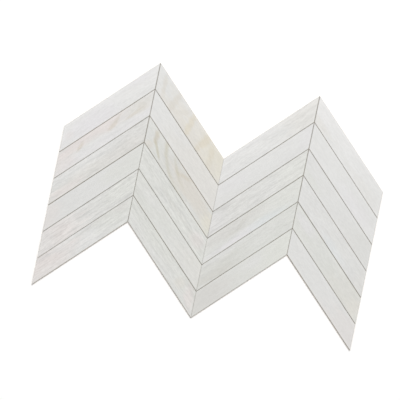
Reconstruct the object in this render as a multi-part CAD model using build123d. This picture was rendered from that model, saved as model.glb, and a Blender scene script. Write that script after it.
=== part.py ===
"""Chevron wall panel: mitred wooden planks in rows, glued to a thin backing board. Millimetres.

The panel lies on its back. +Z is the face that shows, +Y runs up the panel once it is on the wall.
The origin is at the middle of the panel's outline, on the back of the board.
Upright lattice lines are numbered from the left: even lines are valleys, odd lines are ridges.
"""

from build123d import *

import os
from math import cos, radians, tan

# Driving dimensions
column_width = 150.0     # between two upright lattice lines
row_pitch = 50.0         # from plank to plank, measured straight up the panel
row_count = 6
chevron_angle = 45.0     # slope of the planks, in degrees
plank_thickness = 4.0
edge_bevel = 0.6         # micro-bevel along a plank's face, and across its ridge end
plank_joint = 0.3        # gap between planks of one column, square to the planks
ridge_joint = 0.3        # gap where planks meet at a ridge
valley_joint = 0.1       # hairline gap where planks meet at a valley
board_thickness = 2.0
board_setback = 1.0      # how far the board stays inside the lattice outline, so that the planks meet first

# Columns from left to right, as their names
column_names = ["far_left", "mid_left", "mid_right", "far_right"]

# Worked out from the driving dimensions
slope = tan(radians(chevron_angle))
secant = 1 / cos(radians(chevron_angle))
ridge_rise = column_width * slope
panel_width = column_width * len(column_names)
panel_height = ridge_rise + row_count * row_pitch
valley_top = panel_height / 2 - ridge_rise


def is_ridge(line):
    """Odd upright lattice lines are ridges, even ones are valleys."""
    return line % 2 == 1


def line_x(line):
    """Where an upright lattice line stands."""
    return line * column_width - panel_width / 2


def chevron_y(x, row):
    """Height of the zigzag above row number row at x, where row 0 starts at the top of the panel."""
    from_ridge = abs((x + panel_width / 2) % (2 * column_width) - column_width)
    return valley_top + ridge_rise - from_ridge * slope - row * row_pitch


def upright_inset(line):
    """Half of the gap at an upright lattice line."""
    return (ridge_joint if is_ridge(line) else valley_joint) / 2


def plank_outline(column, row):
    """Parallelogram of one plank: its lattice cell, drawn in by half a joint on every side."""
    left = line_x(column) + upright_inset(column)
    right = line_x(column + 1) - upright_inset(column + 1)
    drop = plank_joint / 2 * secant
    return [
        (left, chevron_y(left, row) - drop),
        (right, chevron_y(right, row) - drop),
        (right, chevron_y(right, row + 1) + drop),
        (left, chevron_y(left, row + 1) + drop),
    ]


def make_plank(column, row):
    """One mitred plank on the board. Its face edges are bevelled, except the square valley end."""
    face = make_face(Polyline(*plank_outline(column, row), close=True))
    blank = extrude(Pos(0, 0, board_thickness) * face, plank_thickness)
    left_to_right = blank.faces().sort_by(Axis.Z)[-1].edges().sort_by(Axis.X)
    bevelled = left_to_right[:-1] if is_ridge(column) else left_to_right[1:]
    return chamfer(bevelled, edge_bevel)


def make_backing_board():
    """Thin board cut to the panel's zigzag, drawn in from it on every side."""
    lines = range(len(column_names) + 1)
    top = [(line_x(line), chevron_y(line_x(line), 0)) for line in lines]
    bottom = [(line_x(line), chevron_y(line_x(line), row_count)) for line in reversed(lines)]
    zigzag = make_face(Polyline(*top, *bottom, close=True))
    return extrude(offset(zigzag, -board_setback, kind=Kind.INTERSECTION), board_thickness)


def main():
    os.makedirs("parts", exist_ok=True)
    export_step(make_backing_board(), "parts/backing_board.step")
    for column, name in enumerate(column_names):
        for row in range(row_count):
            export_step(make_plank(column, row), f"parts/plank_{name}_{row + 1}.step")


main()
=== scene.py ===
"""Looks of the chevron wall panel: whitewashed planks with carved grain, on a raw plywood backing board.

The panel lies on its back with its face towards +Z. Lengths are in metres, and those of the wood's own
detail are in millimetres, in names that end in _MM and in each plank's own coordinates: along the grain,
across it and up from the plank's face.
"""

import math
from typing import NamedTuple

import bpy
import numpy as np
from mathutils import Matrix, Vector


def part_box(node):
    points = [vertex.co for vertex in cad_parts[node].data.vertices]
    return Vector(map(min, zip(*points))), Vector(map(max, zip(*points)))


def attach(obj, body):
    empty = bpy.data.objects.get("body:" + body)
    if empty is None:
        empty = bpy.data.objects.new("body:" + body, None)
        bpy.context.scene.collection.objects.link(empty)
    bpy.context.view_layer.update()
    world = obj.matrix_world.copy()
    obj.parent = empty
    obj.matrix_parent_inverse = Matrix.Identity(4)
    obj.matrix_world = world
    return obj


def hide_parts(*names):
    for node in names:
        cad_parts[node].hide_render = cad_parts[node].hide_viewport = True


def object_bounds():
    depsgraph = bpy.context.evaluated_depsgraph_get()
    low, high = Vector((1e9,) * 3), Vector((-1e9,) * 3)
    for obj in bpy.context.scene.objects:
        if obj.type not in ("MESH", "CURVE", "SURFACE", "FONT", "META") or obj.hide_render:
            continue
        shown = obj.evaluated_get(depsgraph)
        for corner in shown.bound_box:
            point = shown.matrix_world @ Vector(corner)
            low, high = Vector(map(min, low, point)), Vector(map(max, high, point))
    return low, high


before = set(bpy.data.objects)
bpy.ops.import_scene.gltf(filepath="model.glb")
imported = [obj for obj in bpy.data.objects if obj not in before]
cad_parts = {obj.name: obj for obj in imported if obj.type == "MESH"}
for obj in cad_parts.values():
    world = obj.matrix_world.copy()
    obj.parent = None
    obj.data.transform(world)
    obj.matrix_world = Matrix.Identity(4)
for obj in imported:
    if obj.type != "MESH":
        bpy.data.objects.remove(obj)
cad_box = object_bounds()

MM = 0.001

# Framing: the panel's middle and turn in the 400 x 400 picture, and the width of floor that it takes in
PICTURE_PIXELS = 400
PANEL_MIDDLE_PIXEL = (215.5, 198.6)
PANEL_TURN = math.radians(11.74)
PICTURE_WIDTH = 0.738
LENS_MM = 200.0
SENSOR_MM = 36.0

# Light: soft and even, a little stronger from the top right of the picture. The three levels add up to
# about 1, so that a colour on the level face comes out about as it is written.
WORLD_LEVEL = 0.245
SUN_LEVEL = 0.53
SUN_TILT = math.radians(16)     # away from straight above
SUN_SPREAD = math.radians(24)   # its width in the sky
SUN_LEAN = 0.25                 # to the right, for each step up the picture
LAMP_LEVEL = 0.24
LAMP_PLACE = (0.25, 0.7, 1.9)   # to the right, up the picture and above the floor
LAMP_SIZE = 1.2
WHITE = (1.0, 1.0, 1.0, 1.0)

# Floor: its glow makes it white to look at, and a glow within reach of the panel's back lights the back
FLOOR_SIZE = 60.0
FLOOR_DROP = 0.0002
FLOOR_COLOUR = (0.92, 0.92, 0.92, 1.0)
FLOOR_GLOW = 0.16
BACK_GLOW = 0.7
BACK_REACH = 0.0005

# Grid of a plank's face: its steps, and its lines over each edge as shares of the bevel there
ALONG_STEP_MM = 1.6
ACROSS_STEP_MM = 0.6
EDGE_SHARES = (0.0, 0.45, 0.8, 1.0, 1.2, 1.6)
SAME_LEVEL_MM = 0.01            # corners this close together count as level

# Worn edges of a plank: rounded bevels that widen here and there, and nicks that fade away from the edge
SQUARE_END_MM = 0.1             # least bevel, at the square valley end
ROUNDING_MM = 0.12
BEVEL_WEAR = 0.2
BEVEL_WEAR_CELL_MM = (9.0, 9.0)
NICK_DEPTH_MM = 0.12
NICK_CELL_MM = (7.0, 1.0)
NICK_FADE_MM = 1.0

# Carved face of a plank: how deep each kind of relief goes, from least to most where a plank draws its own
# depth, and the cells of its noise along the grain and across it
LIP_MM = (0.02, 0.12)
TILT_MM = (-0.05, 0.05)
CUP_MM = (0.012, 0.06)
WAVE_MM = 0.05
WAVE_CELL_MM = (60.0, 18.0)
BROAD_GROOVE_MM = 0.054
BROAD_GROOVE_CELL_MM = (70.0, 2.4)
FINE_GROOVE_MM = 0.045
FINE_GROOVE_CELL_MM = (28.0, 1.1)
SEED = 20

# Where each side of a plank lies on its texture map: left, bottom, right and top
MAP_FACE = (0.01, 0.30, 0.99, 0.99)
MAP_LOW_WALL = (0.01, 0.01, 0.99, 0.08)
MAP_HIGH_WALL = (0.01, 0.10, 0.99, 0.17)
MAP_LEFT_WALL = (0.01, 0.19, 0.32, 0.27)
MAP_RIGHT_WALL = (0.34, 0.19, 0.65, 0.27)
MAP_BACK = (0.67, 0.19, 0.99, 0.27)

# Figure of the wood: cells of its noise along the grain, across it and through it
BEND_CELL_MM = (95.0, 40.0, 40.0)
BLOTCH_CELL_MM = (60.0, 20.0, 20.0)
CLOUD_CELL_MM = (22.0, 9.0, 9.0)
WEAR_CELL_MM = (6.0, 2.0, 2.0)
BROAD_CELL_MM = (150.0, 12.0, 12.0)
STREAK_CELL_MM = (55.0, 5.0, 5.0)
FIBRE_CELL_MM = (30.0, 2.2, 2.2)
FLECK_CELL_MM = (8.0, 2.4, 2.4)
HAIR_CELL_MM = (16.0, 0.5, 0.5)
PORE_CELL_MM = (7.0, 0.3, 0.3)

# How far the grain bends in those directions, and how far apart the planks are cut from the noise
BEND_MM = (0.0, 9.0, 4.0)
PLANK_APART_MM = 400.0

# Soft steps over noise, which runs from 0 to 1: where they start and where they end
MOST_NOISE = (0.3, 0.7)
ALL_NOISE = (0.2, 0.8)
STREAK_STEP = (0.4, 0.7)
PORE_STEP = (0.66, 0.76)

# How far the figure darkens and lightens the wash, how far blotches turn it plain, and how much of the
# wood and its pores shows through it
CLOUD_SHADE = 0.03
BROAD_SHADE = 0.03
STREAK_SHADE = 0.035
STREAK_LIFT = 0.014
FIBRE_SHADE = 0.06
FLECK_SHADE = 0.10
PLAIN_SHARE = 0.4
WOOD_SHARE = 0.05
WOOD_SWING = 0.04
PORE_SHARE = 0.10

# Border of a patch, in its own half sizes: where it starts, where it is full and how ragged it is
PATCH_BORDER = (1.2, 0.3)
PATCH_RAGGED = 0.5

# Growth rings, in years: rise and fall of a year's dark line, the empty heart, and how far lines wander
RING_RISE = (0.15, 0.5)
RING_FALL = (0.5, 0.8)
RING_HEART = (0.4, 0.7)
RING_WANDER = 0.2

# Strength of the rings where they are faint, and the step over the blotches from there to full strength
RING_FAINT = 0.35
RING_FAINT_STEP = (0.3, 0.65)

# Stain along the edges, with painted shade along the low edges, which face away from the light: how far it
# reaches, how ragged it is and its strengths
STAIN_AND_SHADE_REACH_MM = 1.9
STAIN_AND_SHADE_RAGGED_MM = 0.3
HIGH_STAIN = 0.09
# Low side: painted shade as well as stain, since that side faces away from the light
LOW_STAIN_AND_SHADE = 0.38
RIDGE_STAIN = 0.3
VALLEY_STAIN = 0.15

# Thicker wash beside the edges: where it starts and where it is full, and how far it lightens the face
RIM_MM = (6.0, 2.5)
RIM_LIFT = 0.018

# Levels, up from the face, where the wash ends and where the wood is bare
BARE_LEVEL_MM = (-0.65, -0.9)

# Finish: roughness between and on the fibres, gloss, and the bump of the fibres and pores
PLANK_ROUGHNESS = (0.55, 0.75)
PLANK_GLOSS = 0.3
PLANK_BUMP_MM = 0.12
BOARD_ROUGHNESS = (0.65, 0.85)
BOARD_GLOSS = 0.25
BOARD_BUMP_MM = 0.2
BUMP_STRENGTH = 0.5

# Veneer on the backing board's faces
VENEER_BEND_CELL_MM = (180.0, 60.0, 60.0)
VENEER_BEND_MM = (0.0, 30.0, 0.0)
VENEER_GRAIN_CELL_MM = (120.0, 2.2, 2.2)
VENEER_GRAIN_STEP = (0.35, 0.7)
VENEER_GRAIN_SHARE = 0.3
VENEER_HAIR_CELL_MM = (30.0, 0.5, 0.5)
VENEER_RING_SHARE = 0.45

# Plies on the backing board's edges: how far from the middle the core ends and the outer plies start, as
# shares of the thickness, then the saw's marks, and the step from an upright edge to a level face
CORE_HALF_SHARES = (0.15, 0.18)
SAWN_CELL_MM = (0.6, 0.6, 0.3)
SAWN_SHARE = 0.35
FLAT_STEP = (0.4, 0.6)

# Sockets of a colour mix by number, because other kinds of mix have sockets with the same names
MIX_SHARE, MIX_FIRST, MIX_SECOND, MIX_RESULT = 0, 6, 7, 2


def linear(red, green, blue):
    """A colour in screen levels from 0 to 255, as linear shares with full opacity (the sRGB curve)."""
    levels = np.array([red, green, blue]) / 255
    shares = np.where(levels > 0.04045, ((levels + 0.055) / 1.055) ** 2.4, levels / 12.92)
    return (*shares.tolist(), 1.0)


# Tones of the wash, and of the wood under it
TONES = {
    "white": linear(233, 232.5, 231.5),
    "bright": linear(230, 229.5, 228.5),
    "light": linear(226, 226, 224.5),
    "plain": linear(222, 222, 220.5),
    "grey": linear(220, 220, 217.5),
    "sage": linear(222, 223, 217.5),
    "green_grey": linear(219, 220, 215.5),
    "moss": linear(217, 218, 213.5),
    "dull": linear(215, 214, 210.5),
    "dusk": linear(207, 206, 200.5),
    "lilac": linear(227, 225, 227.5),
    "cool": linear(220, 225, 226.5),
    "rosy": linear(226, 220, 217.5),
    "beige": linear(222, 220, 215.5),
    "cream": linear(225, 221, 212.5),
    "tan": linear(217, 213, 205.5),
    "hay": linear(223, 219, 204),
    "straw": linear(219, 211, 193),
    "bark": linear(204, 196, 181),
    "olive": linear(199, 195, 178),
}
WOOD_PALE = linear(206, 200, 188)
WOOD_DARK = linear(170, 157, 136)
RAW_PALE = linear(196, 170, 134)
RAW_DARK = linear(140, 108, 74)
PLY_PALE = linear(213, 192, 157)
PLY_DARK = linear(168, 138, 101)
# Colour of the stain along the joints, which is also the painted shade along the low side
STAIN_AND_SHADE = linear(150, 145, 132)


class Area(NamedTuple):
    """A soft oval on a plank: its middle and half size, as shares of the plank's half length and width.

    Its lean is how far it moves along the plank for each step across it.
    """

    along: float
    across: float
    length: float
    width: float
    lean: float = 0.0


class Patch(NamedTuple):
    """An area where the wash has another tone."""

    tone: str
    area: Area
    strength: float


class Heart(NamedTuple):
    """Middle of growth rings that a face cuts as ovals, in the wood's own millimetres.

    The squeeze is an oval's width over its length, and the spacing is that of the ovals across the grain.
    """

    along: float
    across: float
    squeeze: float
    spacing: float


class Rings(NamedTuple):
    """Growth rings about a heart, and the area of a plank where they show."""

    heart: Heart
    tone: str
    strength: float
    shown: Area


class Look(NamedTuple):
    """One plank's wash tone, patches, growth rings and streaks, and how strongly its joints are stained,
    with painted shade as well as stain on the low side.
    """

    wash: str
    patches: tuple[Patch, ...] = ()
    rings: Rings | None = None
    streaks: float = 1.0
    low_stain_and_shade: float = 1.0
    ridge: float = 1.0
    valley: float = 1.0


VENEER_HEART = Heart(40.0, 0.0, 0.09, 7.0)

# Areas that several planks share
LEFT_END = Area(-0.95, 0.0, 0.35, 1.5)
LEFT_PART = Area(-0.8, 0.0, 0.8, 1.8)
RIGHT_PART = Area(0.85, 0.0, 0.65, 1.8)
RIGHT_END = Area(0.98, 0.0, 0.25, 1.5)
UPPER_LEFT = Area(-0.65, 0.4, 0.4, 0.7)
LOWER_LEFT = Area(-0.8, -0.65, 0.45, 0.5)
LOWER_RIGHT = Area(0.7, -0.5, 0.6, 0.7)
UPPER_SIDE = Area(0.0, 1.0, 2.6, 1.0)
LOWER_SIDE = Area(0.0, -1.0, 2.6, 1.0)

# Looks of the planks, from the left column to the right one and from the top row to the bottom one
# The low side's strength paints shade as well as stain along each plank's low edge, and along the panel's
# low outer edge on the bottom row
LOOKS = {
    "far_left_1": Look(
        "white",
        (
            Patch("light", LOWER_SIDE, 0.9),
            Patch("lilac", Area(-0.4, -0.3, 0.7, 1.3), 0.7),
            Patch("lilac", Area(0.7, 0.7, 0.3, 0.7), 0.4),
            Patch("rosy", Area(-0.85, -0.1, 0.12, 0.5), 0.4),
        ),
        streaks=0.8,
        ridge=1.5,
    ),
    "far_left_2": Look(
        "light",
        (
            Patch("lilac", Area(0.0, -0.6, 1.6, 0.6), 0.4),
            Patch("rosy", Area(-0.15, 0.65, 1.3, 0.8), 0.95),
            Patch("beige", Area(0.8, 0.5, 0.42, 0.75), 0.9),
            Patch("dull", Area(0.75, 0.45, 0.3, 0.5), 0.4),
            Patch("rosy", LEFT_END, 0.6),
            Patch("bark", Area(-0.47, 0.2, 0.07, 0.4, 1.5), 0.45),
            Patch("bark", Area(0.28, 0.45, 0.11, 0.6, 2.0), 0.45),
            Patch("bark", Area(0.6, 0.1, 0.24, 0.16), 0.35),
            Patch("bark", Area(0.82, 0.3, 0.1, 0.45), 0.15),
        ),
        streaks=0.9,
    ),
    "far_left_3": Look(
        "plain",
        (
            Patch("beige", Area(0.0, -0.5, 2.0, 1.0), 0.7),
            Patch("light", UPPER_SIDE, 0.5),
            Patch("dull", Area(0.2, -0.9, 1.3, 0.6), 0.6),
            Patch("dull", RIGHT_PART, 0.5),
            Patch("rosy", LOWER_LEFT, 0.7),
        ),
        streaks=1.85,
        low_stain_and_shade=1.9,
        ridge=1.7,
    ),
    "far_left_4": Look(
        "plain",
        (Patch("rosy", LEFT_END, 0.5), Patch("green_grey", RIGHT_PART, 0.8)),
        streaks=0.3,
        ridge=0.3,
    ),
    "far_left_5": Look(
        "grey",
        (
            Patch("rosy", LEFT_PART, 0.8),
            Patch("light", LEFT_END, 0.5),
            Patch("green_grey", RIGHT_PART, 0.8),
        ),
        streaks=2.5,
        low_stain_and_shade=0.65,
        ridge=0.55,
    ),
    "far_left_6": Look(
        "light",
        (
            Patch("rosy", LEFT_PART, 0.95),
            Patch("green_grey", RIGHT_PART, 0.9),
            Patch("light", LOWER_SIDE, 0.35),
            Patch("dusk", Area(0.3, 0.72, 0.8, 0.25), 0.3),
            Patch("dull", Area(0.9, 0.65, 0.18, 0.5), 0.7),
        ),
        streaks=1.8,
        low_stain_and_shade=1.9,
        ridge=0.6,
    ),
    "mid_left_1": Look(
        "light",
        (
            Patch("cream", Area(0.65, -0.1, 1.4, 2.2), 0.75),
            Patch("hay", RIGHT_PART, 0.5),
            Patch("tan", Area(0.1, -1.0, 1.2, 0.6), 0.4),
            Patch("tan", Area(-0.8, 0.05, 0.07, 1.2, -0.9), 0.6),
            Patch("tan", Area(-0.46, -0.1, 0.07, 1.6, -0.3), 0.75),
            Patch("tan", Area(-0.21, 0.2, 0.06, 0.9, 0.4), 0.3),
            Patch("straw", Area(0.03, -0.2, 0.08, 1.9, -0.6), 0.6),
            Patch("straw", Area(0.41, 0.15, 0.09, 2.0, -0.1), 0.65),
            Patch("straw", Area(0.69, -0.1, 0.09, 1.6, -0.9), 0.45),
            Patch("straw", Area(0.82, 0.65, 0.14, 0.5), 0.15),
            Patch("tan", Area(0.83, -0.55, 0.15, 0.5), 0.4),
        ),
        streaks=0.5,
        ridge=1.3,
        valley=0.5,
    ),
    "mid_left_2": Look("light", (Patch("beige", Area(0.5, 0.0, 1.1, 2.2), 0.8),), streaks=0.6, low_stain_and_shade=0.8),
    "mid_left_3": Look(
        "moss",
        (
            Patch("plain", LEFT_END, 0.5),
            Patch("dull", Area(-0.28, 0.1, 0.3, 1.2), 0.6),
            Patch("tan", Area(0.34, 0.2, 0.8, 1.2), 0.9),
            Patch("hay", RIGHT_END, 0.55),
            Patch("tan", Area(-0.76, -0.6, 0.11, 0.45), 0.7),
            Patch("bark", Area(-0.79, 0.5, 0.075, 0.6, -0.7), 0.65),
            Patch("olive", Area(-0.61, -0.2, 0.065, 0.65, -2.1), 0.7),
            Patch("bark", Area(0.06, 0.5, 0.09, 0.6, 1.8), 0.5),
        ),
        Rings(Heart(36.0, 34.0, 0.5, 12.9), "olive", 0.75, Area(-0.26, 0.15, 0.36, 2.0, -2.0)),
        streaks=0.7,
        low_stain_and_shade=1.2,
        valley=1.5,
    ),
    "mid_left_4": Look(
        "green_grey",
        (Patch("rosy", Area(0.76, 0.05, 0.2, 0.7), 0.6), Patch("dusk", Area(0.1, -0.05, 0.8, 0.25), 0.35)),
        streaks=2.0,
        ridge=0.4,
    ),
    "mid_left_5": Look(
        "green_grey",
        (
            Patch("lilac", UPPER_LEFT, 0.3),
            Patch("moss", LEFT_PART, 0.5),
            Patch("beige", RIGHT_PART, 0.5),
            Patch("moss", LOWER_LEFT, 0.6),
        ),
        low_stain_and_shade=1.7,
        ridge=0.6,
        valley=1.3,
    ),
    "mid_left_6": Look(
        "green_grey",
        (
            Patch("moss", UPPER_SIDE, 0.7),
            Patch("plain", LOWER_SIDE, 0.4),
            Patch("tan", Area(0.54, 0.15, 0.13, 0.6), 0.5),
            Patch("rosy", Area(0.85, 0.0, 0.15, 1.4, -1.0), 0.7),
        ),
        streaks=1.65,
        low_stain_and_shade=1.75,
        ridge=0.6,
        valley=1.6,
    ),
    "mid_right_1": Look(
        "light",
        (
            Patch("bright", UPPER_SIDE, 0.6),
            Patch("bright", LEFT_END, 0.5),
            Patch("cream", RIGHT_PART, 0.3),
        ),
        streaks=1.25,
        ridge=1.4,
        valley=0.5,
    ),
    "mid_right_2": Look(
        "light",
        (
            Patch("plain", LOWER_SIDE, 0.8),
            Patch("plain", LEFT_PART, 0.5),
            Patch("lilac", UPPER_LEFT, 0.3),
            Patch("lilac", RIGHT_END, 0.3),
        ),
        streaks=0.3,
        ridge=1.2,
    ),
    "mid_right_3": Look(
        "grey",
        (
            Patch("dull", LEFT_PART, 0.3),
            Patch("lilac", LEFT_END, 0.3),
            Patch("sage", RIGHT_PART, 0.5),
        ),
        streaks=2.0,
        low_stain_and_shade=1.6,
        ridge=1.2,
        valley=1.5,
    ),
    "mid_right_4": Look(
        "green_grey",
        (
            Patch("dull", Area(-0.4, 0.45, 0.8, 0.75), 0.9),
            Patch("lilac", Area(-0.5, -0.7, 0.75, 0.5), 0.7),
            Patch("cool", Area(0.3, -0.7, 0.55, 0.45), 0.6),
            Patch("sage", Area(0.85, -0.5, 0.6, 0.8), 0.4),
            Patch("dusk", Area(-0.44, 0.02, 0.2, 0.14), 0.45),
            Patch("dusk", Area(-0.1, 0.5, 0.1, 0.65, 2.2), 0.55),
        ),
        ridge=1.3,
    ),
    "mid_right_5": Look(
        "moss",
        (
            Patch("dusk", LEFT_PART, 0.4),
            Patch("plain", Area(-0.5, 0.8, 0.6, 0.4), 0.6),
            Patch("dusk", LOWER_LEFT, 0.6),
        ),
        streaks=0.9,
        low_stain_and_shade=0.85,
        ridge=0.8,
        valley=1.3,
    ),
    "mid_right_6": Look(
        "green_grey",
        (
            Patch("dull", LEFT_PART, 0.95),
            Patch("lilac", Area(0.35, 0.3, 0.35, 0.7), 0.3),
            Patch("sage", RIGHT_PART, 0.9),
        ),
        streaks=0.3,
        low_stain_and_shade=1.35,
        ridge=0.45,
        valley=1.6,
    ),
    "far_right_1": Look(
        "white",
        (
            Patch("light", RIGHT_PART, 0.8),
            Patch("light", LOWER_SIDE, 0.8),
            Patch("cream", LOWER_LEFT, 0.3),
            Patch("beige", LOWER_RIGHT, 0.3),
        ),
        streaks=0.5,
        low_stain_and_shade=0.45,
        ridge=1.4,
    ),
    "far_right_2": Look(
        "light",
        (Patch("plain", Area(0.7, 0.5, 0.6, 0.9), 0.6), Patch("lilac", Area(0.45, -0.3, 0.6, 1.0), 0.4)),
        streaks=0.3,
        ridge=1.2,
    ),
    "far_right_3": Look(
        "plain",
        (
            Patch("grey", RIGHT_PART, 1.0),
            Patch("green_grey", LOWER_LEFT, 0.7),
            Patch("dull", Area(0.65, 0.3, 0.35, 0.6), 0.15),
        ),
        streaks=0.4,
        low_stain_and_shade=0.6,
        ridge=1.2,
    ),
    "far_right_4": Look(
        "plain",
        (
            Patch("cool", Area(0.1, -0.6, 0.35, 0.6), 0.4),
            Patch("grey", Area(0.5, 0.5, 0.9, 0.7), 0.6),
            Patch("beige", RIGHT_END, 0.4),
        ),
        streaks=0.9,
        low_stain_and_shade=1.8,
        ridge=1.2,
    ),
    "far_right_5": Look(
        "green_grey",
        (
            Patch("lilac", Area(-0.75, 0.4, 0.3, 0.7), 0.5),
            Patch("moss", Area(-0.1, -0.2, 0.6, 1.0), 0.6),
            Patch("tan", Area(0.6, 0.0, 0.5, 1.6), 0.3),
            Patch("cream", RIGHT_END, 0.4),
        ),
        streaks=0.6,
        low_stain_and_shade=1.5,
        ridge=0.7,
    ),
    "far_right_6": Look(
        "plain",
        (Patch("light", Area(0.0, 0.0, 1.2, 2.0), 0.35), Patch("rosy", RIGHT_PART, 0.4)),
        streaks=0.35,
        low_stain_and_shade=2.5,
        ridge=0.45,
    ),
}


# Shapes of the planks


class Plank:
    """A plank's place and size, in millimetres, read from its solid in model.glb."""

    def __init__(self, node):
        corners = np.array([vertex.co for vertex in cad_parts[node].data.vertices]) / MM
        self.back = corners[:, 2].min()
        self.face = corners[:, 2].max()
        outline = corners[corners[:, 2] < self.back + SAME_LEVEL_MM]
        top = corners[corners[:, 2] > self.face - SAME_LEVEL_MM]
        self.left = outline[:, 0].min()
        self.right = outline[:, 0].max()
        self.span = self.right - self.left
        left_end = outline[outline[:, 0] < self.left + SAME_LEVEL_MM][:, 1]
        right_end = outline[outline[:, 0] > self.right - SAME_LEVEL_MM][:, 1]
        self.low = left_end.min()
        self.upright_width = left_end.max() - self.low
        self.slope = (right_end.min() - self.low) / self.span
        self.turn = math.atan(self.slope)
        self.width = self.upright_width * math.cos(self.turn)
        self.length = self.span / math.cos(self.turn)
        ends = [left_end.min(), left_end.max(), right_end.min(), right_end.max()]
        self.middle = ((self.left + self.right) / 2, sum(ends) / 4)
        self.left_bevel = top[:, 0].min() - self.left
        self.right_bevel = self.right - top[:, 0].max()
        self.bevel = max(self.left_bevel, self.right_bevel)


def eased(share):
    """A share from 0 to 1 that starts and ends softly."""
    return share * share * (3 - 2 * share)


def drift(rng, along, across, cell):
    """Smooth noise from -1 to 1, with cells of the given length along and across the grain."""
    cells_along = (along - along.min()) / cell[0]
    cells_across = (across - across.min()) / cell[1]
    column = np.floor(cells_along).astype(int)
    row = np.floor(cells_across).astype(int)
    corners = rng.uniform(-1.0, 1.0, (column.max() + 2, row.max() + 2))
    right = eased(cells_along - column)
    high = eased(cells_across - row)
    low_side = corners[column, row] * (1 - right) + corners[column + 1, row] * right
    high_side = corners[column, row + 1] * (1 - right) + corners[column + 1, row + 1] * right
    return low_side * (1 - high) + high_side * high


def hollows(rng, along, across, cell):
    """Hollows up to 1 deep, with level wood between them."""
    return np.clip(drift(rng, along, across, cell), 0, 1) ** 2


def grid_lines(length, step, bevel):
    """Places of the grid lines from 0 to length: close together over both edges, even between them."""
    edge = np.array(EDGE_SHARES) * bevel
    count = max(2, round((length - 2 * edge[-1]) / step))
    inner = np.linspace(edge[-1], length - edge[-1], count + 1)
    return np.concatenate([edge[:-1], inner, length - edge[:-1][::-1]])


def carved_depth(rng, plank, along, across):
    """How far the worn and brushed face lies below the plank's true face, before its edges are bevelled."""
    half = across / (plank.width / 2)
    lip = rng.uniform(*LIP_MM)
    tilt = rng.uniform(*TILT_MM) * half
    cup = rng.uniform(*CUP_MM) * half ** 2
    wave = WAVE_MM * (1 + drift(rng, along, across, WAVE_CELL_MM)) / 2
    broad = BROAD_GROOVE_MM * hollows(rng, along, across, BROAD_GROOVE_CELL_MM)
    fine = FINE_GROOVE_MM * hollows(rng, along, across, FINE_GROOVE_CELL_MM)
    return np.clip(lip + tilt + cup + wave + broad + fine, 0, None)


def bevel_depth(rng, plank, x, up):
    """How far the worn bevels round the face fall away, rounded where they leave it."""
    cosine = math.cos(plank.turn)
    wear = 1 + BEVEL_WEAR * (1 + drift(rng, x, up, BEVEL_WEAR_CELL_MM)) / 2
    sides = (
        (x, plank.left_bevel),
        (plank.span - x, plank.right_bevel),
        (up * cosine, plank.bevel),
        ((plank.upright_width - up) * cosine, plank.bevel),
    )
    falls = [wear * max(bevel, SQUARE_END_MM) - distance for distance, bevel in sides]
    deepest = np.maximum.reduce(falls)
    return (deepest + np.sqrt(deepest ** 2 + ROUNDING_MM ** 2)) / 2


def nicked(rng, plank, x, up):
    """The upright place of each grid point, with the long edges slightly nicked inwards."""
    low_nick = NICK_DEPTH_MM * hollows(rng, x, 0 * up, NICK_CELL_MM)
    high_nick = NICK_DEPTH_MM * hollows(rng, x, 0 * up, NICK_CELL_MM)
    from_high = plank.upright_width - up
    return up + low_nick * np.exp(-up / NICK_FADE_MM) - high_nick * np.exp(-from_high / NICK_FADE_MM)


def on_map(area, right_share, up_share):
    """Places given as shares of an area's width and height, as places on the texture map."""
    left, bottom, right, top = area
    return np.stack([left + right_share * (right - left), bottom + up_share * (top - bottom)], -1)


def carved_face(plank, rng):
    """Grid of points on the worn and carved face, and their places on the texture map."""
    columns = grid_lines(plank.span, ALONG_STEP_MM, plank.bevel)
    rows = grid_lines(plank.upright_width, ACROSS_STEP_MM, plank.bevel / math.cos(plank.turn))
    x, up = np.meshgrid(columns, rows, indexing="ij")
    east = plank.left + x - plank.middle[0]
    north = plank.low + plank.slope * x + up - plank.middle[1]
    along = east * math.cos(plank.turn) + north * math.sin(plank.turn)
    across = north * math.cos(plank.turn) - east * math.sin(plank.turn)
    depth = carved_depth(rng, plank, along, across) + bevel_depth(rng, plank, x, up)
    up = nicked(rng, plank, x, up)
    y = plank.low + plank.slope * x + up
    points = np.stack([plank.left + x, y, plank.face - depth], -1)
    return points, on_map(MAP_FACE, x / plank.span, np.clip(up / plank.upright_width, 0, 1))


def wall(top, under, area):
    """Faces and map places of one wall, from a run of points on the face's rim to those below them."""
    share = np.linspace(0, 1, len(top))
    faces = np.stack([top[:-1], under[:-1], under[1:], top[1:]], -1)
    high = on_map(area, share, np.ones(len(top)))
    low = on_map(area, share, np.zeros(len(top)))
    places = np.stack([high[:-1], low[:-1], low[1:], high[1:]], 1)
    return faces.tolist(), places.reshape(-1, 2).tolist()


def new_mesh(name, points, faces, places, smooth_count):
    """A mesh of points in millimetres, mapped at each corner of its faces. Its first faces are smooth."""
    mesh = bpy.data.meshes.new(name)
    mesh.from_pydata((points * MM).tolist(), [], faces)
    mesh.polygons.foreach_set("use_smooth", np.arange(len(faces)) < smooth_count)
    layer = mesh.uv_layers.new(name="OFBake")
    layer.data.foreach_set("uv", np.array(places, np.float32).ravel())
    mesh.validate()
    mesh.update()
    return mesh


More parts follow.
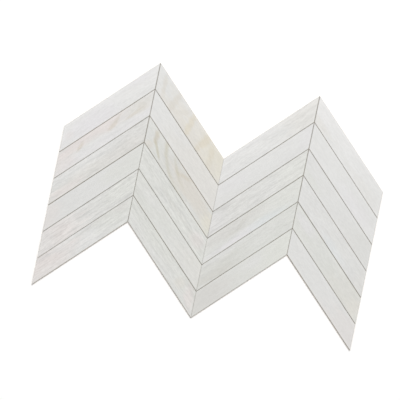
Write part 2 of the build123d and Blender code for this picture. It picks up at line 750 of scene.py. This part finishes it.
def plank_mesh(name, plank, rng):
    """A closed plank: a carved face with bevelled edges, upright walls and a flat back."""
    grid, grid_places = carved_face(plank, rng)
    face_points = grid.reshape(-1, 3)
    number = np.arange(len(face_points)).reshape(grid.shape[:2])
    quads = np.stack([number[:-1, :-1], number[1:, :-1], number[1:, 1:], number[:-1, 1:]], -1)
    quads = quads.reshape(-1, 4)
    faces = quads.tolist()
    places = grid_places.reshape(-1, 2)[quads].reshape(-1, 2).tolist()

    runs = (
        (number[:, 0], MAP_LOW_WALL),
        (number[-1, :], MAP_RIGHT_WALL),
        (number[::-1, -1], MAP_HIGH_WALL),
        (number[0, ::-1], MAP_LEFT_WALL),
    )
    rim = np.concatenate([run[:-1] for run, area in runs])
    back_points = face_points[rim].copy()
    back_points[:, 2] = plank.back
    below = np.zeros(number.size, int)
    below[rim] = number.size + np.arange(len(rim))
    for run, area in runs:
        wall_faces, wall_places = wall(run, below[run], area)
        faces += wall_faces
        places += wall_places

    faces.append(below[rim][::-1].tolist())
    corners = back_points[::-1, :2]
    shares = (corners - corners.min(0)) / (corners.max(0) - corners.min(0))
    places += on_map(MAP_BACK, shares[:, 0], shares[:, 1]).tolist()
    points = np.concatenate([face_points, back_points])
    return new_mesh(name, points, faces, places, len(quads))


# Materials


class Nodes:
    """Short calls that build one node tree. Each takes sockets of other nodes or plain constants."""

    def __init__(self, tree):
        self.tree = tree

    def feed(self, socket, value):
        """Links a socket to another node's output, or sets a constant on it."""
        if isinstance(value, bpy.types.NodeSocket):
            self.tree.links.new(value, socket)
        else:
            socket.default_value = value

    def surface(self, **inputs):
        """Feeds the material's own shader, by the names of its inputs with _ for each space."""
        shader = self.tree.nodes["Principled BSDF"]
        for key, value in inputs.items():
            self.feed(shader.inputs[key.replace("_", " ")], value)

    def add(self, kind, inputs, output=0, **settings):
        """Adds a node with the given inputs and settings, and returns one of its outputs."""
        node = self.tree.nodes.new(kind)
        for key, value in settings.items():
            setattr(node, key, value)
        for key, value in inputs.items():
            self.feed(node.inputs[key], value)
        return node.outputs[output]

    def math(self, operation, first, second=0.0, clamp=False):
        """One operation on two values."""
        return self.add("ShaderNodeMath", {0: first, 1: second}, operation=operation, use_clamp=clamp)

    def times(self, first, second):
        """Two values multiplied."""
        return self.math("MULTIPLY", first, second)

    def total(self, first, *others):
        """All values added up."""
        for other in others:
            first = self.math("ADD", first, other)
        return first

    def vector(self, operation, first, second=(0.0, 0.0, 0.0), output="Vector"):
        """One operation on two vectors. Its output is "Value" where the result is a plain number."""
        return self.add("ShaderNodeVectorMath", {0: first, 1: second}, output, operation=operation)

    def part(self, vector, axis):
        """A vector's part along axis number 0, 1 or 2."""
        return self.add("ShaderNodeSeparateXYZ", {0: vector}, axis)

    def place(self, middle, turn):
        """Millimetres along the grain, across it and up, from a middle that is given in millimetres too."""
        inputs = {
            "Vector": self.add("ShaderNodeTexCoord", {}, "Object"),
            "Location": [part * MM for part in middle],
            "Rotation": (0.0, 0.0, turn),
            "Scale": (MM, MM, MM),
        }
        return self.add("ShaderNodeMapping", inputs, vector_type="TEXTURE")

    def noise(self, place, cell, detail=2.0, output=0):
        """Noise from 0 to 1 with cells of the given size in millimetres."""
        scaled = self.vector("DIVIDE", place, cell)
        return self.add("ShaderNodeTexNoise", {"Vector": scaled, "Scale": 1.0, "Detail": detail}, output)

    def soft_step(self, value, step, low=0.0, high=1.0):
        """Goes softly from low, where the value is at the step's start, to high, where it is at its end."""
        start, end = step
        inputs = {"Value": value, "From Min": start, "From Max": end, "To Min": low, "To Max": high}
        return self.add("ShaderNodeMapRange", inputs, interpolation_type="SMOOTHSTEP")

    def swing(self, value, amount):
        """Noise from 0 to 1 turned into a swing of the given amount to both sides of nothing."""
        return self.times(self.math("SUBTRACT", value, 0.5), 2 * amount)

    def mix(self, share, first, second, blend="MIX"):
        """Two colours mixed, from the first alone at share 0 to the second alone at share 1."""
        inputs = {MIX_SHARE: share, MIX_FIRST: first, MIX_SECOND: second}
        return self.add("ShaderNodeMix", inputs, MIX_RESULT, data_type="RGBA", blend_type=blend)

    def bent(self, place, cell, reach):
        """A slow wander of the grain, as an offset in millimetres."""
        wander = self.noise(place, cell, detail=1.0, output="Color")
        return self.vector("MULTIPLY", self.vector("SUBTRACT", wander, (0.5, 0.5, 0.5)), reach)

    def bump(self, height, depth):
        """Fine relief of the given depth in millimetres, for the shader's normal."""
        inputs = {"Strength": BUMP_STRENGTH, "Distance": depth * MM, "Height": height}
        return self.add("ShaderNodeBump", inputs)


class Figure:
    """Figure of one plank's wood, as sockets: places in it, noises from 0 to 1 and a patch's raggedness."""

    def __init__(self, nodes, plank, number):
        self.place = nodes.place((*plank.middle, plank.face), plank.turn)
        cut = nodes.vector("ADD", self.place, (0.0, 0.0, PLANK_APART_MM * number))
        bend = nodes.bent(cut, BEND_CELL_MM, BEND_MM)
        fibres = nodes.vector("ADD", cut, bend)
        self.grain = nodes.vector("ADD", self.place, bend)
        self.blotch = nodes.noise(cut, BLOTCH_CELL_MM)
        self.cloud = nodes.noise(cut, CLOUD_CELL_MM)
        self.wear = nodes.noise(cut, WEAR_CELL_MM)
        self.broad = nodes.noise(fibres, BROAD_CELL_MM)
        self.streak = nodes.noise(fibres, STREAK_CELL_MM)
        self.fibre = nodes.noise(fibres, FIBRE_CELL_MM)
        self.fleck = nodes.noise(fibres, FLECK_CELL_MM)
        self.hair = nodes.noise(fibres, HAIR_CELL_MM)
        self.pores = nodes.soft_step(nodes.noise(fibres, PORE_CELL_MM, detail=1.0), PORE_STEP)
        blotchy = nodes.swing(self.blotch, PATCH_RAGGED)
        self.ragged = nodes.math("ADD", blotchy, nodes.swing(self.streak, PATCH_RAGGED))


def new_material(name):
    """A material and the short calls for its node tree."""
    material = bpy.data.materials.new(name)
    material.use_nodes = True
    return material, Nodes(material.node_tree)


def area_share(nodes, plank, figure, area):
    """1 in the middle of an area and 0 past its edge, with a ragged border."""
    middle = (area.along * plank.length / 2, area.across * plank.width / 2, 0.0)
    half = (area.length * plank.length / 2, area.width * plank.width / 2, 1.0)
    offset = nodes.vector("SUBTRACT", figure.grain, middle)
    along = nodes.vector("DOT_PRODUCT", offset, (1.0, -area.lean, 0.0), "Value")
    upright = nodes.add("ShaderNodeCombineXYZ", {0: along, 1: nodes.part(offset, 1)})
    reach = nodes.vector("LENGTH", nodes.vector("DIVIDE", upright, half), output="Value")
    return nodes.soft_step(nodes.math("ADD", reach, figure.ragged), PATCH_BORDER)


def ring_lines(nodes, grain, heart, wander):
    """Growth rings as soft lines from 0 to 1 about an empty heart."""
    offset = nodes.vector("SUBTRACT", grain, (heart.along, heart.across, 0.0))
    squeezed = nodes.vector("MULTIPLY", offset, (heart.squeeze, 1.0, 1.0))
    age = nodes.math("DIVIDE", nodes.vector("LENGTH", squeezed, output="Value"), heart.spacing)
    age = nodes.math("ADD", age, wander)
    season = nodes.math("FRACT", nodes.math("ADD", age, 0.5))
    rise = nodes.soft_step(season, RING_RISE)
    fall = nodes.soft_step(season, RING_FALL, 1.0, 0.0)
    return nodes.times(nodes.times(rise, fall), nodes.soft_step(age, RING_HEART))


def edge_distances(nodes, plank, figure):
    """Millimetres from the high and low side of a plank, and from its ridge and valley end."""
    across = nodes.part(figure.place, 1)
    high = nodes.math("SUBTRACT", plank.width / 2, across)
    low = nodes.math("ADD", plank.width / 2, across)
    left = nodes.part(nodes.place((plank.left, 0.0, 0.0), 0.0), 0)
    right = nodes.math("SUBTRACT", plank.span, left)
    ridge, valley = (right, left) if plank.right_bevel > plank.left_bevel else (left, right)
    return high, low, ridge, valley


def edge_stain_and_shade(nodes, figure, look, distances):
    """Strength of the darkening along the edges: a stained band along the joints, least on the high side,
    and most on the low side, where it is painted shade as well, since that side faces away from the light.
    """
    strengths = (
        HIGH_STAIN,
        LOW_STAIN_AND_SHADE * look.low_stain_and_shade,
        RIDGE_STAIN * look.ridge,
        VALLEY_STAIN * look.valley,
    )
    ragged = nodes.swing(figure.wear, STAIN_AND_SHADE_RAGGED_MM)
    stain_and_shade = 0.0
    for distance, strength in zip(distances, strengths):
        worn = nodes.math("ADD", distance, ragged)
        stain_and_shade = nodes.math("MAXIMUM", nodes.soft_step(worn, (STAIN_AND_SHADE_REACH_MM, 0.0), 0.0, strength), stain_and_shade)
    return stain_and_shade


def edge_rim(nodes, distances):
    """1 just inside the edges, where the wash is thicker, and 0 away from them."""
    nearest = distances[0]
    for distance in distances[1:]:
        nearest = nodes.math("MINIMUM", nearest, distance)
    return nodes.soft_step(nearest, RIM_MM)


def wash_colour(nodes, plank, figure, look):
    """The plank's wash, with soft blotches and patches of other tones, and a little wood through it."""
    blotched = nodes.soft_step(figure.blotch, MOST_NOISE, 0.0, PLAIN_SHARE)
    colour = nodes.mix(blotched, TONES[look.wash], TONES["plain"])
    for patch in look.patches:
        share = area_share(nodes, plank, figure, patch.area)
        colour = nodes.mix(nodes.times(share, patch.strength), colour, TONES[patch.tone])
    wood = nodes.mix(nodes.soft_step(figure.hair, MOST_NOISE), WOOD_PALE, WOOD_DARK)
    showing = nodes.math("ADD", nodes.swing(figure.broad, WOOD_SWING), WOOD_SHARE, clamp=True)
    return nodes.mix(showing, colour, wood)


def ringed(nodes, plank, figure, rings, colour):
    """The wash with growth rings, which are faint in places."""
    lines = ring_lines(nodes, figure.grain, rings.heart, nodes.swing(figure.blotch, RING_WANDER))
    faded = nodes.times(lines, nodes.soft_step(figure.blotch, RING_FAINT_STEP, RING_FAINT, 1.0))
    shown = nodes.times(area_share(nodes, plank, figure, rings.shown), rings.strength)
    return nodes.mix(nodes.times(faded, shown), colour, TONES[rings.tone])


def shaded(nodes, figure, look, rim, colour):
    """The wash darkened and lightened by clouds, streaks, fibres and flecks, with a light rim and pores."""
    streaks = look.streaks
    shade = nodes.total(
        nodes.swing(figure.cloud, CLOUD_SHADE),
        nodes.swing(figure.broad, streaks * BROAD_SHADE),
        nodes.soft_step(figure.streak, STREAK_STEP, streaks * STREAK_LIFT, -streaks * STREAK_SHADE),
        nodes.swing(figure.fibre, streaks * FIBRE_SHADE),
        nodes.swing(figure.fleck, math.sqrt(streaks) * FLECK_SHADE),
        nodes.times(rim, RIM_LIFT),
        1.0,
    )
    colour = nodes.mix(1.0, colour, shade, "MULTIPLY")
    return nodes.mix(nodes.times(figure.pores, PORE_SHARE), colour, WOOD_DARK)


def plank_material(name, plank, look, number):
    """Thin white wash over brushed wood, stained along its edges, with painted shade along its low side,
    and with raw wood on the walls.
    """
    material, nodes = new_material(name)
    figure = Figure(nodes, plank, number)
    distances = edge_distances(nodes, plank, figure)
    colour = wash_colour(nodes, plank, figure, look)
    if look.rings:
        colour = ringed(nodes, plank, figure, look.rings, colour)
    colour = shaded(nodes, figure, look, edge_rim(nodes, distances), colour)
    # Stain along the joints, and painted shade along the low side
    colour = nodes.mix(edge_stain_and_shade(nodes, figure, look, distances), colour, STAIN_AND_SHADE)
    raw = nodes.mix(nodes.soft_step(figure.hair, MOST_NOISE), RAW_PALE, RAW_DARK)
    bare = nodes.soft_step(nodes.part(figure.place, 2), BARE_LEVEL_MM)
    height = nodes.math("SUBTRACT", nodes.total(figure.hair, figure.fibre), figure.pores)
    nodes.surface(
        Base_Color=nodes.mix(bare, colour, raw),
        Roughness=nodes.soft_step(figure.fibre, ALL_NOISE, *PLANK_ROUGHNESS),
        Specular_IOR_Level=PLANK_GLOSS,
        Normal=nodes.bump(height, PLANK_BUMP_MM),
    )
    return material


def veneer_colour(nodes, grain, medium):
    """A face ply with long ovals of growth rings and with streaks along the grain."""
    rings = ring_lines(nodes, grain, VENEER_HEART, medium)
    ringed_veneer = nodes.mix(nodes.times(rings, VENEER_RING_SHARE), PLY_PALE, PLY_DARK)
    streaks = nodes.soft_step(medium, VENEER_GRAIN_STEP, 0.0, VENEER_GRAIN_SHARE)
    return nodes.mix(streaks, ringed_veneer, PLY_DARK)


def ply_edge_colour(nodes, place, thickness):
    """A sawn edge with a dark core between two pale plies."""
    from_middle = nodes.math("ABSOLUTE", nodes.math("SUBTRACT", nodes.part(place, 2), thickness / 2))
    core_border = [thickness * share for share in CORE_HALF_SHARES]
    plies = nodes.mix(nodes.soft_step(from_middle, core_border, 1.0, 0.0), PLY_PALE, PLY_DARK)
    sawn = nodes.soft_step(nodes.noise(place, SAWN_CELL_MM), MOST_NOISE, 0.0, SAWN_SHARE)
    return nodes.mix(sawn, plies, PLY_DARK)


def board_material():
    """Raw three-ply board: a veneer with long grain on its faces, and its plies on its edges."""
    low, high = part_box("backing_board")
    material, nodes = new_material("raw_plywood")
    place = nodes.place((0.0, 0.0, 0.0), 0.0)
    grain = nodes.vector("ADD", place, nodes.bent(place, VENEER_BEND_CELL_MM, VENEER_BEND_MM))
    medium = nodes.noise(grain, VENEER_GRAIN_CELL_MM, detail=3.0)
    fine = nodes.noise(grain, VENEER_HAIR_CELL_MM)
    veneer = veneer_colour(nodes, grain, medium)
    edge = ply_edge_colour(nodes, place, (high.z - low.z) / MM)
    facing = nodes.part(nodes.add("ShaderNodeNewGeometry", {}, "Normal"), 2)
    flat = nodes.soft_step(nodes.math("ABSOLUTE", facing), FLAT_STEP)
    nodes.surface(
        Base_Color=nodes.mix(flat, edge, veneer),
        Roughness=nodes.soft_step(fine, ALL_NOISE, *BOARD_ROUGHNESS),
        Specular_IOR_Level=BOARD_GLOSS,
        Normal=nodes.bump(nodes.total(fine, medium), BOARD_BUMP_MM),
    )
    return material


# The object


def make_plank(index, name):
    """A carved and washed plank in place of its solid."""
    node = "plank_" + name
    plank = Plank(node)
    rng = np.random.default_rng(SEED + index)
    piece = bpy.data.objects.new("washed_" + node, plank_mesh("washed_" + node, plank, rng))
    bpy.context.scene.collection.objects.link(piece)
    piece.data.materials.append(plank_material("washed_wood_" + name, plank, LOOKS[name], index + 1))
    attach(piece, "root")
    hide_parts(node)


def dress_board():
    """The backing board keeps its solid's shape and gets its own material."""
    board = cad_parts["backing_board"]
    board.material_slots[0].material = board_material()


# The stage


def seen_directly(nodes):
    """1 for rays from the camera, a reflection or a pane, 0 for rays that only light the object."""
    path = nodes.tree.nodes.new("ShaderNodeLightPath").outputs
    mirrored = nodes.math("MAXIMUM", path["Is Glossy Ray"], path["Is Transmission Ray"])
    return nodes.math("MAXIMUM", path["Is Camera Ray"], mirrored)


def meets_back(nodes):
    """1 for rays that start on the panel's back, right above the floor, and 0 for all others."""
    length = nodes.add("ShaderNodeLightPath", {}, "Ray Length")
    return nodes.math("LESS_THAN", length, BACK_REACH)


def floor_material():
    """Matt white, bright under the panel and clear from below, so that the panel's back can be seen."""
    material, nodes = new_material("white_floor")
    nodes.surface(
        Base_Color=FLOOR_COLOUR,
        Roughness=1.0,
        Specular_IOR_Level=0.0,
        Emission_Color=WHITE,
        Emission_Strength=nodes.total(
            nodes.times(seen_directly(nodes), FLOOR_GLOW),
            nodes.times(meets_back(nodes), BACK_GLOW),
        ),
    )
    under = nodes.add("ShaderNodeNewGeometry", {}, "Backfacing")
    clear = nodes.add("ShaderNodeBsdfTransparent", {})
    solid = nodes.tree.nodes["Principled BSDF"].outputs[0]
    surface = nodes.add("ShaderNodeMixShader", {0: under, 1: solid, 2: clear})
    nodes.feed(nodes.tree.nodes["Material Output"].inputs["Surface"], surface)
    material.cycles.emission_sampling = "NONE"
    return material


def make_floor():
    """A wide white floor just below the panel."""
    half = FLOOR_SIZE / 2
    corners = [(-half, -half), (half, -half), (half, half), (-half, half)]
    mesh = bpy.data.meshes.new("floor")
    mesh.from_pydata([(x, y, -FLOOR_DROP) for x, y in corners], [], [(0, 1, 2, 3)])
    mesh.materials.append(floor_material())
    floor = bpy.data.objects.new("floor", mesh)
    bpy.context.scene.collection.objects.link(floor)


def turned(east, north):
    """A direction given to the right and up in the picture, in the panel's own X and Y."""
    cosine, sine = math.cos(PANEL_TURN), math.sin(PANEL_TURN)
    return east * cosine - north * sine, east * sine + north * cosine


def add_lamp(name, kind, energy, place):
    """A lamp that shines on the panel's middle."""
    data = bpy.data.lights.new(name, kind)
    data.energy = energy
    lamp = bpy.data.objects.new(name, data)
    lamp.location = place
    lamp.rotation_euler = (-Vector(place)).to_track_quat("-Z", "Y").to_euler()
    bpy.context.scene.collection.objects.link(lamp)
    return data


def add_lamps():
    """A wide soft sun from the top of the picture and a weaker lamp at its top right, each at its level."""
    reach = math.sin(SUN_TILT)
    sun_place = (*turned(SUN_LEAN * reach, reach), math.cos(SUN_TILT))
    sun = add_lamp("soft_sun", "SUN", math.pi * SUN_LEVEL / math.cos(SUN_TILT), sun_place)
    sun.angle = SUN_SPREAD
    east, north, up = LAMP_PLACE
    distance = math.sqrt(east ** 2 + north ** 2 + up ** 2)
    power = math.pi ** 2 * LAMP_LEVEL * distance ** 3 / up
    lamp = add_lamp("soft_lamp", "AREA", power, (*turned(east, north), up))
    lamp.size = LAMP_SIZE


def make_world():
    """Even light all round, seen as plain white."""
    world = bpy.data.worlds.new("studio")
    world.use_nodes = True
    bpy.context.scene.world = world
    nodes = Nodes(world.node_tree)
    light = nodes.add("ShaderNodeBackground", {"Color": WHITE, "Strength": WORLD_LEVEL})
    white = nodes.add("ShaderNodeBackground", {"Color": WHITE, "Strength": 1.0})
    shown = nodes.add("ShaderNodeMixShader", {0: seen_directly(nodes), 1: light, 2: white})
    nodes.feed(nodes.tree.nodes["World Output"].inputs["Surface"], shown)


def add_camera():
    """Looks straight down with a long lens, turned so that the panel lies as in the picture."""
    data = bpy.data.cameras.new("camera")
    data.lens = LENS_MM
    data.sensor_width = SENSOR_MM
    metres_per_pixel = PICTURE_WIDTH / PICTURE_PIXELS
    east = (PICTURE_PIXELS / 2 - PANEL_MIDDLE_PIXEL[0]) * metres_per_pixel
    north = (PANEL_MIDDLE_PIXEL[1] - PICTURE_PIXELS / 2) * metres_per_pixel
    height = cad_box[1].z + PICTURE_WIDTH * LENS_MM / SENSOR_MM
    camera = bpy.data.objects.new("camera", data)
    camera.location = (*turned(east, north), height)
    camera.rotation_euler = (0.0, 0.0, PANEL_TURN)
    bpy.context.scene.collection.objects.link(camera)
    bpy.context.scene.camera = camera


for index, name in enumerate(LOOKS):
    make_plank(index, name)
dress_board()
make_floor()
add_lamps()
make_world()
add_camera()
bpy.context.scene.view_settings.view_transform = "Standard"
